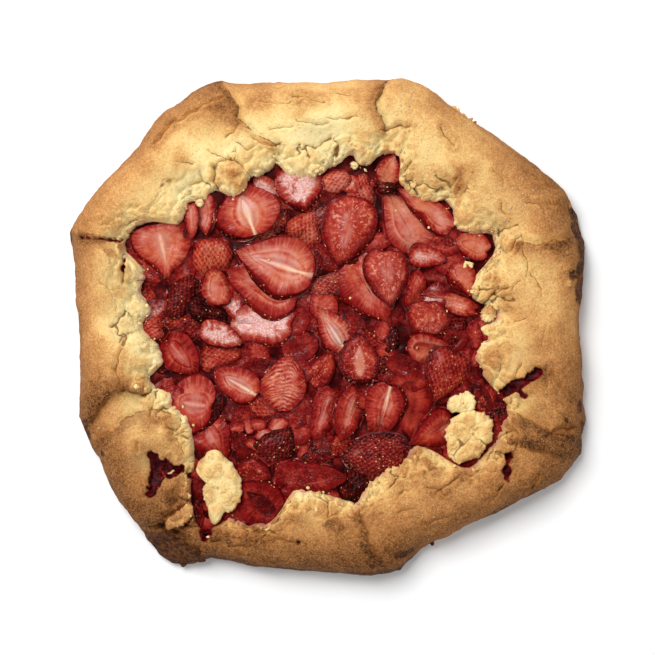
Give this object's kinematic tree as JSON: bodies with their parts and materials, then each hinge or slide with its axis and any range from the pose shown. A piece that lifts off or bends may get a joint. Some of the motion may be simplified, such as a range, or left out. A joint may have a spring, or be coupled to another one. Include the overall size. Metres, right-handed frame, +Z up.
{
  "type": "fruit galette",
  "caption": "Free-form strawberry galette: a sheet of dough whose border is folded roughly up and over a heap of sliced baked strawberries in jam.",
  "frame": {"origin": "centre of the footprint on the surface it stands on", "axes": "+Z up, +Y towards the straight back edge, +X to the right seen from above"},
  "size_m": [0.2573, 0.2483, 0.0294],
  "materials": {
    "crust": "baked golden shortcrust, pale and floury at the torn inner edge, brown to nearly black on the outer corners, dry and finely grained",
    "dough": "loose bits of pale baked dough, dry and floury",
    "berry_inside": "flat inside of a baked strawberry slice, pink and red with pale fibres running outwards, wet",
    "berry_outside": "rounded outside of a baked strawberry slice, deep red, pitted and seeded, wet",
    "jam": "dark red glossy cooked juice and soft fruit"
  },
  "bodies": {
    "root": {"crust": "crust", "filling": "jam", "dough_crumb_east": "dough", "dough_lump_east": "dough", "dough_lump_west": "dough", "slice_01": "berry_inside", "slice_02": "berry_inside", "slice_03": "berry_outside", "slice_04": "berry_outside", "slice_05": "berry_outside", "slice_06": "berry_outside", "slice_07": "berry_inside", "slice_08": "berry_outside", "slice_09": "berry_outside", "slice_10": "berry_outside", "slice_11": "berry_inside", "slice_12": "berry_inside", "slice_13": "berry_inside", "slice_14": "berry_inside", "slice_15": "berry_inside", "slice_16": "berry_inside", "slice_17": "berry_inside", "slice_18": "berry_inside", "slice_19": "berry_inside", "slice_20": "berry_outside", "slice_21": "berry_inside", "slice_22": "berry_inside", "slice_23": "berry_inside", "slice_24": "berry_inside", "slice_25": "berry_outside", "slice_26": "berry_inside", "slice_27": "berry_outside", "slice_28": "berry_outside", "slice_29": "berry_inside", "slice_30": "berry_outside", "slice_31": "berry_inside", "slice_32": "berry_outside", "slice_33": "berry_outside", "slice_34": "berry_inside", "slice_35": "berry_outside", "slice_36": "berry_inside", "slice_37": "berry_inside", "slice_38": "berry_outside", "slice_39": "berry_outside", "slice_40": "berry_inside", "slice_41": "berry_inside", "slice_42": "berry_inside", "slice_43": "berry_inside", "slice_44": "berry_inside", "slice_45": "berry_outside", "slice_46": "berry_outside", "slice_47": "berry_inside", "slice_48": "berry_inside", "slice_49": "berry_inside", "slice_50": "berry_inside", "slice_51": "berry_outside", "slice_52": "berry_inside", "slice_53": "berry_inside", "slice_54": "berry_inside", "slice_55": "berry_inside"}
  },
  "joints": []
}
